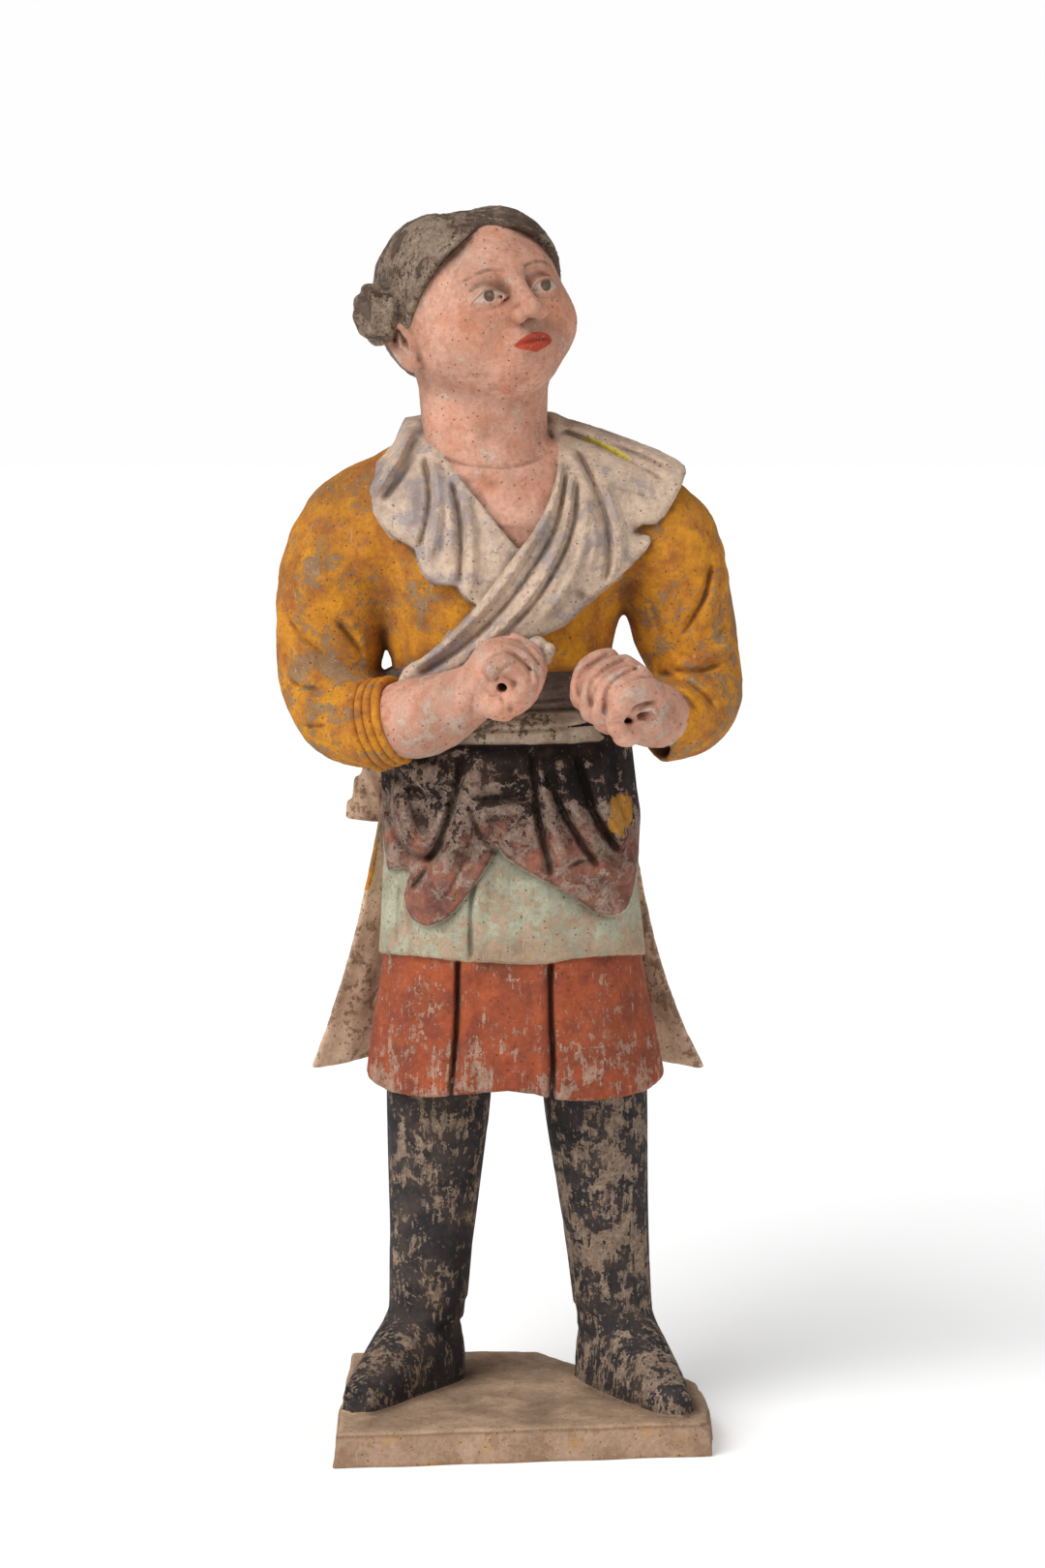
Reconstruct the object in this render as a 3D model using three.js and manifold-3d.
// Painted terracotta tomb figure: a groom in a belted robe and boots, fired in one piece with its slab.
// Millimetres, +Z up. The figure faces -Y, and the origin is the centre of the slab's underside.
import * as THREE from "three";
import { mergeVertices } from "three/addons/utils/BufferGeometryUtils.js";
import Module from "manifold-3d";

const wasm = await Module();
wasm.setup();

// Driving dimensions
const slabThickness = 17.5;
const hemHeight = 176;
const greenHemHeight = 243;
const waistHeight = 350;
const headCentre = new THREE.Vector3(-21, 0, 567);
const headHalf = new THREE.Vector3(45.5, 49, 51);
const headTurn = 30;
const headTiltBack = 10;
const headLean = -10;
const apronDepth = 4.5;
const lapelDepth = 6.5;
const foldSink = 3;
const gripHoleRadius = 2.3;
const fistScale = 1;

// Plan of the slab, anticlockwise from its front left corner
const slabPlan = [
  [-94, -85],
  [95, -60],
  [96, -28],
  [91, 22],
  [78, 46],
  [30, 66],
  [8, 91],
  [-92, 87],
];
const slabCornerRadius = 8;

// Stations are [z, centre x, centre y, half width, half depth]
const redSkirt = [
  [hemHeight, -3.5, 12, 76, 50],
  [hemHeight + 4, -3.5, 12, 77, 51],
  [205, -4.5, 12, 72.5, 48.5],
  [greenHemHeight, -5.2, 12, 65.5, 45.5],
  [300, -6.8, 11, 61, 43.5],
  [waistHeight + 10, -8, 10, 56, 40],
];
const greenSkirt = [
  [greenHemHeight, -5.2, 11.5, 67.5, 48.5],
  [greenHemHeight + 30, -6, 11.5, 65, 46.5],
  [waistHeight, -7.5, 10, 57.5, 41],
];
const torso = [
  [waistHeight - 10, -8, 10, 56, 40],
  [372, -9, 9.5, 54.5, 39],
  [400, -11, 9, 56.5, 39.5],
  [430, -10, 9, 65, 40.5],
  [455, -8, 10, 78, 39.5],
  [474, -8, 12, 80, 35],
  [488, -12, 13, 68, 30],
  [503, -17, 13, 44, 26],
];
const neck = [
  [470, -15, 6, 38, 32],
  [490, -17, 6, 34, 31],
  [512, -18.5, 6, 31.5, 31],
  [545, -20, 5, 32, 32],
];
const bootShafts = {
  right: [
    [52, -49.2, 29, 19.8, 21.5],
    [100, -46.3, 26, 22, 23.5],
    [160, -43.1, 23, 26.3, 27],
    [hemHeight + 12, -42.5, 22, 27, 28],
  ],
  left: [
    [46, 47.4, 29, 19.6, 21.5],
    [100, 42.7, 26, 22, 23.5],
    [160, 37.6, 23, 26.3, 27],
    [hemHeight + 12, 37, 22, 27, 28],
  ],
};
// Feet run from heel to toe in plan; each station is [share of the length, half width, height above the slab]
const feet = {
  right: { heel: [-46.5, 52], toe: [-83.5, -40] },
  left: { heel: [44, 53], toe: [78, -48] },
};
const footProfile = [
  [0, 4, 16],
  [0.06, 15, 30],
  [0.22, 19.5, 37],
  [0.42, 18.5, 36],
  [0.6, 16.5, 29],
  [0.8, 13.5, 20],
  [0.94, 9.5, 14],
  [1, 4, 8],
];

// Limb stations are [x, y, z, radius]
const sleeves = {
  right: [
    [-50, 14, 462, 31],
    [-80, 15, 456, 33],
    [-94, 15, 432, 30.5],
    [-96.5, 14, 407, 26.5],
    [-95.5, 11, 384, 24.6],
    [-90, 3, 366, 25],
    [-79, -14, 362, 22.5],
    [-70, -24, 362, 21.5],
  ],
  left: [
    [40, 14, 458, 30],
    [67, 14, 451, 31.5],
    [74, 14, 431, 28],
    [79, 14, 409, 26],
    [85, 12, 391, 23],
    [85.5, 6, 374, 23],
    [80, -12, 366, 22],
    [73, -31, 366, 21.5],
  ],
};
const cuffRolls = { count: 4, first: [-72, -21.5, 361.5], last: [-63, -31.5, 364], radius: 22, bulge: 2.2 };
const openCuff = { centre: [72, -33, 366], axis: [-0.32, -0.93, 0.1], radius: 22, wall: 3.2, depth: 13 };
const forearms = {
  right: [
    [-80, -14, 361, 17],
    [-62, -33, 365, 20],
    [-44, -46, 371, 17.5],
    [-27, -56, 379, 14],
    [-14, -62, 387, 14.5],
  ],
  left: [
    [80, -15, 366, 14],
    [71, -36, 366, 15.5],
    [63, -52, 369, 14.5],
    [55, -62, 375, 14],
  ],
};
const fists = {
  right: { centre: [-5, -67, 393], axis: [-0.12, -0.96, -0.25], knuckles: [0.45, -0.2, 0.87], side: 1 },
  left: { centre: [43, -70, 383], axis: [0.5, -0.8, -0.33], knuckles: [-0.1, -0.3, 0.95], side: -1 },
};

// Outlines of the raised cloth seen from the front, as [x, z]
const leftLapel = [
  [-48, 515],
  [-63, 501],
  [-79, 482],
  [-75, 466],
  [-62, 452],
  [-54, 438],
  [-38, 432],
  [-30, 424],
  [-18, 421],
  [-8, 436],
  [2, 450],
  [-22, 478],
  [-42, 503],
];
const rightLapel = [
  [14, 515],
  [82, 491],
  [84, 478],
  [72, 463],
  [59, 457],
  [55, 446],
  [45, 434],
  [33, 428],
  [14, 411],
  [-4, 398],
  [-36, 378],
  [-56, 384],
  [-40, 399],
  [-20, 424],
  [1, 452],
  [10, 480],
];
const leftLobe = [
  [-72, 356],
  [-72, 298],
  [-62, 290],
  [-60, 276],
  [-54, 267],
  [-45, 264],
  [-34, 270],
  [-22, 284],
  [-11, 303],
  [-8, 356],
];
const rightLobe = [
  [-36, 356],
  [-33, 330],
  [-11, 304],
  [6, 293],
  [20, 280],
  [34, 271],
  [45, 268],
  [54, 274],
  [58, 290],
  [62, 356],
];
// Ridges of folded cloth as [x, z] from end to end, with their radius at the middle
const apronFolds = [
  { run: [[-46, 356], [-56, 326], [-46, 300], [-34, 298]], radius: 5.5 },
  { run: [[-30, 358], [-38, 328], [-46, 300], [-46, 272]], radius: 6 },
  { run: [[-14, 358], [-16, 330], [-4, 310], [14, 302]], radius: 5.5 },
  { run: [[6, 358], [8, 328], [20, 302], [34, 278]], radius: 6 },
  { run: [[28, 356], [38, 326], [48, 302], [48, 280]], radius: 6 },
];
const lapelFolds = [
  { run: [[-46, 508], [-60, 486], [-58, 460], [-42, 440]], radius: 4.6 },
  { run: [[-32, 490], [-38, 468], [-34, 448], [-24, 430]], radius: 4.4 },
  { run: [[56, 492], [60, 476], [52, 456], [44, 440]], radius: 4.8 },
  { run: [[34, 498], [36, 472], [20, 440], [-6, 412], [-46, 386]], radius: 5 },
  { run: [[14, 492], [8, 460], [-12, 430], [-34, 404]], radius: 4.2 },
];
// Each panel of the red skirt ends at a pressed pleat, at this x on the front
const skirtPleats = [-32, 14];

const robeTails = [
  [hemHeight + 1, -7.5, 40, 101.5, 36],
  [205, -8.5, 39, 90, 34],
  [245, -9.5, 36, 77, 31],
  [300, -9, 28, 65.5, 28],
  [waistHeight + 6, -8, 16, 56, 32],
];
const sash = [
  [waistHeight + 3, -8, 10, 56, 40],
  [waistHeight + 6, -8, 10, 60, 44],
  [waistHeight + 12, -8.5, 10, 61, 45],
  [waistHeight + 18, -9, 10, 59.5, 43.5],
  [waistHeight + 21, -9, 10, 56.5, 41],
  [waistHeight + 24, -9.3, 10, 59, 43],
  [waistHeight + 31, -9.6, 10, 59, 43],
  [waistHeight + 36, -10, 10, 55, 39],
];
const sashEnd = [
  [-54, 26, 356, 9],
  [-68, 33, 342, 9],
  [-77, 38, 322, 10.5],
  [-83, 41, 303, 12],
];

// Turns a three.js geometry into a solid that can be joined and cut.
function solid(geometry) {
  const bare = geometry.clone();
  for (const name of Object.keys(bare.attributes)) if (name !== "position") bare.deleteAttribute(name);
  const merged = mergeVertices(bare, 1e-3);
  return new wasm.Manifold(
    new wasm.Mesh({
      numProp: 3,
      vertProperties: new Float32Array(merged.attributes.position.array),
      triVerts: new Uint32Array(merged.index.array),
    }),
  );
}

function joined(solids) {
  return solids.reduce((whole, next) => whole.add(next));
}

// A cylinder whose every vertex is placed by its share of the length, its angle from the front
// and its reach from the axis.
function ringed(segments, rings, place) {
  const geometry = new THREE.CylinderGeometry(1, 1, 1, segments, rings);
  const position = geometry.getAttribute("position");
  for (let i = 0; i < position.count; i++) {
    const [x, y, z] = [position.getX(i), position.getY(i), position.getZ(i)];
    const at = place(y + 0.5, Math.atan2(x, z), Math.min(1, Math.hypot(x, z)));
    position.setXYZ(i, at.x, at.y, at.z);
  }
  return solid(geometry);
}

// Smooth interpolation through a table of stations at a share of its length.
function stationAt(table, share) {
  const last = table.length - 1;
  const at = Math.min(share * last, last - 1e-9);
  const i = Math.floor(at);
  const row = (n) => table[Math.max(0, Math.min(last, n))];
  const f = at - i;
  return table[0].map((_, k) => {
    const [a, b, c, d] = [row(i - 1)[k], row(i)[k], row(i + 1)[k], row(i + 2)[k]];
    return b + 0.5 * f * (c - a + f * (2 * a - 5 * b + 4 * c - d + f * (3 * (b - c) + d - a)));
  });
}

// A standing form with elliptical sections. grow thickens it, and shape may change the radius by angle.
function standing(table, segments, rings, grow = 0, shape = () => 1) {
  return ringed(segments, rings, (share, angle, reach) => {
    const [z, x, y, halfWidth, halfDepth] = stationAt(table, share);
    const out = reach * shape(angle, share);
    return new THREE.Vector3(
      x + (halfWidth + grow) * out * Math.sin(angle),
      y - (halfDepth + grow) * out * Math.cos(angle),
      z,
    );
  });
}

const sideways = new THREE.Vector3(1, 0, 0);

// A round limb through stations of [x, y, z, radius]. flat squeezes it across the reference direction.
function limb(table, segments, rings, grow = 0, flat = 1, reference = new THREE.Vector3(0, 0, 1)) {
  const step = 1e-3;
  return ringed(segments, rings, (share, angle, reach) => {
    const [x, y, z, radius] = stationAt(table, share);
    const before = stationAt(table, Math.max(0, share - step));
    const after = stationAt(table, Math.min(1, share + step));
    const along = new THREE.Vector3(after[0] - before[0], after[1] - before[1], after[2] - before[2]).normalize();
    const across = along.clone().cross(reference).normalize();
    const up = across.clone().cross(along);
    return new THREE.Vector3(x, y, z)
      .addScaledVector(across, reach * (radius + grow) * Math.sin(angle))
      .addScaledVector(up, reach * (radius + grow) * flat * Math.cos(angle));
  });
}

// The front of a standing form above a point of the elevation, thickened by grow.
function frontOf(table, x, z, grow) {
  let [low, high] = [0, 1];
  for (let i = 0; i < 24; i++) {
    const middle = (low + high) / 2;
    if (stationAt(table, middle)[0] < z) low = middle;
    else high = middle;
  }
  const [, centreX, centreY, halfWidth, halfDepth] = stationAt(table, low);
  const across = Math.min(0.97, Math.abs(x - centreX) / (halfWidth + grow));
  return centreY - (halfDepth + grow) * Math.sqrt(1 - across * across);
}

// A rounded ridge lying on the front of a standing form, fading out at both ends.
function ridge(table, grow, { run, radius }) {
  const stations = run.map(([x, z], i) => {
    const isEnd = i === 0 || i === run.length - 1;
    return [x, frontOf(table, x, z, grow), z, isEnd ? radius * 0.6 : radius];
  });
  return limb(stations, 7, 4, 0, 1, new THREE.Vector3(0.2, -1, 0.1));
}

// An ellipsoid with its own turn, given in degrees about X, Y and Z.
function ellipsoid(centre, half, segments = 16, turn = [0, 0, 0]) {
  const geometry = new THREE.SphereGeometry(1, segments, Math.round(segments * 0.65));
  geometry.rotateX(Math.PI / 2);
  geometry.scale(...half);
  const [rx, ry, rz] = turn.map(THREE.MathUtils.degToRad);
  geometry.applyMatrix4(new THREE.Matrix4().makeRotationFromEuler(new THREE.Euler(rx, ry, rz, "ZYX")));
  geometry.translate(...centre);
  return solid(geometry);
}

// A prism over an outline of [x, z], running from a front depth to a back depth along Y.
function prism(outline, front, back) {
  const shape = new THREE.Shape(outline.map(([x, z]) => new THREE.Vector2(x, z)));
  const geometry = new THREE.ExtrudeGeometry(shape, { depth: back - front, bevelEnabled: false });
  geometry.rotateX(Math.PI / 2);
  geometry.translate(0, back, 0);
  return solid(geometry);
}

// A round rod between two points.
function rod(from, to, radius, segments = 12) {
  const [a, b] = [new THREE.Vector3(...from), new THREE.Vector3(...to)];
  const geometry = new THREE.CylinderGeometry(radius, radius, a.distanceTo(b), segments);
  const turn = new THREE.Quaternion().setFromUnitVectors(new THREE.Vector3(0, 1, 0), b.clone().sub(a).normalize());
  geometry.applyQuaternion(turn);
  geometry.translate(...a.add(b).multiplyScalar(0.5).toArray());
  return solid(geometry);
}

function makeSlab() {
  const shape = new THREE.Shape();
  const corners = slabPlan.map(([x, y]) => new THREE.Vector2(x, y));
  corners.forEach((corner, i) => {
    const before = corners[(i + corners.length - 1) % corners.length];
    const after = corners[(i + 1) % corners.length];
    const from = corner.clone().add(before.clone().sub(corner).setLength(slabCornerRadius));
    const to = corner.clone().add(after.clone().sub(corner).setLength(slabCornerRadius));
    if (i === 0) shape.moveTo(from.x, from.y);
    else shape.lineTo(from.x, from.y);
    shape.quadraticCurveTo(corner.x, corner.y, to.x, to.y);
  });
  return solid(new THREE.ExtrudeGeometry(shape, { depth: slabThickness, bevelEnabled: false, curveSegments: 4 }));
}

function makeBoot(side) {
  const { heel, toe } = feet[side];
  const [from, to] = [new THREE.Vector2(...heel), new THREE.Vector2(...toe)];
  const along = to.clone().sub(from);
  const across = new THREE.Vector2(-along.y, along.x).normalize();
  const sink = 1.5;
  const foot = ringed(14, 9, (share, angle, reach) => {
    const [at, halfWidth, height] = stationAt(footProfile, share);
    const plan = from.clone().addScaledVector(along, at);
    plan.addScaledVector(across, -reach * halfWidth * Math.sin(angle));
    const middle = (height - sink) / 2;
    const half = (height + sink) / 2;
    return new THREE.Vector3(plan.x, plan.y, slabThickness + middle + reach * half * Math.cos(angle));
  });
  return standing(bootShafts[side], 16, 3).add(foot);
}

function makeSkirts() {
  const panels = (angle) => 1 + 0.014 * Math.cos(7 * angle + 0.6);
  const red = standing(redSkirt, 28, 4, 0, panels);
  const slots = skirtPleats.map((x) => {
    const [low, high] = [hemHeight - 5, greenHemHeight];
    return prism([[x - 2, low], [x + 1.4, low], [x + 1.4, high], [x - 1.4, high]], -60, -29);
  });
  const pleated = slots.reduce((whole, slot) => whole.subtract(slot), red);
  const grown = standing(greenSkirt, 28, 3, apronDepth);
  const lobes = [leftLobe, rightLobe].map((outline) => grown.intersect(prism(outline, -80, 12)));
  const folds = apronFolds.map((fold) => ridge(greenSkirt, apronDepth - foldSink, fold));
  return joined([pleated, standing(greenSkirt, 28, 2), ...lobes, ...folds]);
}

// The robe's long back, which hangs behind the skirts and flares to a point at each side.
function makeTails() {
  const flatFront = 0.12;
  return ringed(24, 4, (share, angle, reach) => {
    const [z, x, y, halfWidth, halfDepth] = stationAt(robeTails, share);
    const forward = Math.cos(angle);
    const depth = forward > 0 ? halfDepth * flatFront * forward : halfDepth * forward;
    return new THREE.Vector3(x + reach * halfWidth * Math.sin(angle), y - reach * depth, z);
  });
}

function makeUpperBody() {
  const body = standing(torso, 24, 7);
  const arms = ["right", "left"].map((side) => limb(sleeves[side], 14, 9, 0, 1, sideways));
  const grown = joined([
    standing(torso, 24, 7, lapelDepth),
    ellipsoid([52, 12, 478], [38, 30, 20], 14, [0, 16, 0]),
    ellipsoid([-58, 10, 478], [30, 30, 22], 14, [0, -30, 0]),
  ]);
  const lapels = [leftLapel, rightLapel].map((outline) => grown.intersect(prism(outline, -80, 16)));
  const folds = lapelFolds.map((fold) => ridge(torso, lapelDepth - foldSink, fold));
  return joined([body, ...arms, standing(neck, 16, 3), ...lapels, ...folds]);
}

function makeCuffs() {
  const rolls = ringed(14, cuffRolls.count * 2, (share, angle, reach) => {
    const [from, to] = [new THREE.Vector3(...cuffRolls.first), new THREE.Vector3(...cuffRolls.last)];
    const along = to.clone().sub(from).normalize();
    const across = along.clone().cross(new THREE.Vector3(0, 0, 1)).normalize();
    const up = across.clone().cross(along);
    const radius = cuffRolls.radius + cuffRolls.bulge * Math.abs(Math.sin(share * Math.PI * cuffRolls.count));
    return from
      .lerp(to, share)
      .addScaledVector(across, reach * radius * Math.sin(angle))
      .addScaledVector(up, reach * radius * Math.cos(angle));
  });
  const centre = new THREE.Vector3(...openCuff.centre);
  const axis = new THREE.Vector3(...openCuff.axis).normalize();
  const at = (distance) => centre.clone().addScaledVector(axis, distance).toArray();
  const bell = rod(at(-6), at(openCuff.depth), openCuff.radius, 18);
  const mouth = rod(at(1), at(openCuff.depth + 4), openCuff.radius - openCuff.wall, 18);
  return { rolls, bell, mouth };
}

// A closed fist round a straight grip: four bent fingers side by side, the back of the hand and the thumb.
function makeFist(side) {
  const spec = fists[side];
  const centre = new THREE.Vector3(...spec.centre);
  const axis = new THREE.Vector3(...spec.axis).normalize();
  const top = new THREE.Vector3(...spec.knuckles);
  top.addScaledVector(axis, -top.dot(axis)).normalize();
  const out = top.clone().cross(axis).multiplyScalar(spec.side);
  const around = (degrees, radius, along) => {
    const a = THREE.MathUtils.degToRad(degrees);
    return centre
      .clone()
      .addScaledVector(axis, along * fistScale)
      .addScaledVector(top, Math.cos(a) * radius * fistScale)
      .addScaledVector(out, Math.sin(a) * radius * fistScale);
  };
  const fingerRadius = 5.4;
  const fingers = [-15, -5.5, 4, 13].map((along, i) => {
    const curl = [-40, 20, 75, 125, 170].map((degrees) => [
      ...around(degrees, 11.5 - 0.5 * i, along).toArray(),
      fingerRadius,
    ]);
    return limb(curl, 8, 5, 0, 1, axis);
  });
  const palm = ellipsoid(around(-95, 7, -2).toArray(), [16, 15, 15], 10);
  const thumb = limb(
    [
      [...around(-110, 13, 6).toArray(), 7],
      [...around(-130, 13, 14).toArray(), 6.6],
      [...around(-165, 12, 17).toArray(), 6],
      [...around(-200, 10.5, 17).toArray(), 4.6],
    ],
    8,
    5,
    0,
    1,
    top,
  );
  const core = rod(around(0, 0, -17).toArray(), around(0, 0, 15).toArray(), 8.5, 10);
  const hole = rod(around(0, 0, 2).toArray(), around(0, 0, 30).toArray(), gripHoleRadius, 8);
  return { hand: joined([core, palm, ...fingers, thumb]), hole };
}

// The head faces -Y about its own centre until it is turned, tilted and leaned as a whole.
function makeHead() {
  const { x: halfWidth, y: halfDepth, z: halfHeight } = headHalf;
  const skull = ringed(22, 13, (share, angle, reach) => {
    const rise = Math.PI * (share - 0.5);
    const level = Math.sin(rise);
    const ring = reach * Math.cos(rise);
    const jaw = level < 0 ? 1 - 0.1 * level * level : 1;
    const faceFlat = Math.cos(angle) > 0 ? 0.93 : 1;
    return new THREE.Vector3(
      halfWidth * jaw * ring * Math.sin(angle),
      -halfDepth * faceFlat * ring * Math.cos(angle) - 2 * Math.max(0, -level),
      halfHeight * level,
    );
  });
  const hairGrow = 2.4;
  const cap = ellipsoid([0, 2, 1], [halfWidth + hairGrow, halfDepth + hairGrow, halfHeight + hairGrow], 20);
  const brow = ellipsoid([0, -46, -16], [36, 44, 50], 18);
  const nape = prism([[-70, -90], [70, -90], [70, -16], [-70, -16]], -80, 80);
  const hair = cap.subtract(brow).subtract(nape);
  const buns = [
    ellipsoid([-47, 10, 9], [13.5, 14, 14], 10),
    ellipsoid([42, 30, 6], [12, 13, 13], 10),
  ];
  const bridge = [
    [0, -43, 6, 3],
    [0, -46.5, -1, 3.6],
    [0, -50.5, -9, 5],
    [0, -48, -13, 5],
  ];
  const features = [
    limb(bridge, 8, 4, 0, 1, new THREE.Vector3(0, -1, 0)),
    ellipsoid([-16, -40, 2], [7, 4.5, 3], 8),
    ellipsoid([16, -40, 2], [7, 4.5, 3], 8),
    ellipsoid([0, -43.5, -21.5], [8, 3.6, 2], 8),
    ellipsoid([0, -42, -25], [6.4, 3.8, 2.2], 8),
    ellipsoid([0, -4, -25], [40, 36, 26], 16),
    ellipsoid([-44.5, 4, -6], [4, 7, 12], 10, [-8, 0, -12]),
    ellipsoid([44.5, 4, -6], [4, 7, 12], 10, [-8, 0, 12]),
  ];
  const degrees = THREE.MathUtils.degToRad;
  const pose = new THREE.Matrix4()
    .makeRotationY(degrees(headLean))
    .multiply(new THREE.Matrix4().makeRotationZ(degrees(headTurn)))
    .multiply(new THREE.Matrix4().makeRotationX(degrees(-headTiltBack)))
    .setPosition(headCentre);
  return joined([skull, hair, ...buns, ...features]).transform(pose.elements);
}

function makeFigure() {
  const trunk = joined([
    makeSkirts(),
    makeUpperBody(),
    standing(sash, 24, 7),
    makeTails(),
    limb(sashEnd, 10, 4, 0, 0.5, sideways),
  ]);
  const { rolls, bell, mouth } = makeCuffs();
  const fistParts = ["right", "left"].map(makeFist);
  const forearmParts = ["right", "left"].map((side) => limb(forearms[side], 11, 4));
  const whole = joined([
    makeSlab(),
    makeBoot("right"),
    makeBoot("left"),
    trunk.add(bell).subtract(mouth),
    rolls,
    ...forearmParts,
    ...fistParts.map((part) => part.hand),
    makeHead(),
  ]);
  const bored = fistParts.reduce((left, part) => left.subtract(part.hole), whole);
  // Bubbles left between overlapping forms are filled by keeping the outer shell alone.
  const shells = bored.simplify(0.1).decompose();
  return shells.reduce((largest, shell) => (shell.volume() > largest.volume() ? shell : largest));
}

// A three.js mesh from a finished solid.
function meshOf(name, finished, material) {
  const { vertProperties, triVerts, numProp } = finished.getMesh();
  const geometry = new THREE.BufferGeometry();
  const count = vertProperties.length / numProp;
  const positions = new Float32Array(count * 3);
  for (let i = 0; i < count; i++) positions.set(vertProperties.subarray(i * numProp, i * numProp + 3), i * 3);
  geometry.setAttribute("position", new THREE.BufferAttribute(positions, 3));
  geometry.setIndex(new THREE.BufferAttribute(triVerts, 1));
  geometry.computeVertexNormals();
  const mesh = new THREE.Mesh(geometry, material);
  mesh.name = name;
  return mesh;
}

const paintedClay = new THREE.MeshStandardMaterial({ color: 0xb57f4a, roughness: 0.9, metalness: 0 });

const group = new THREE.Group();
group.add(meshOf("figure", makeFigure(), paintedClay));

export default group;
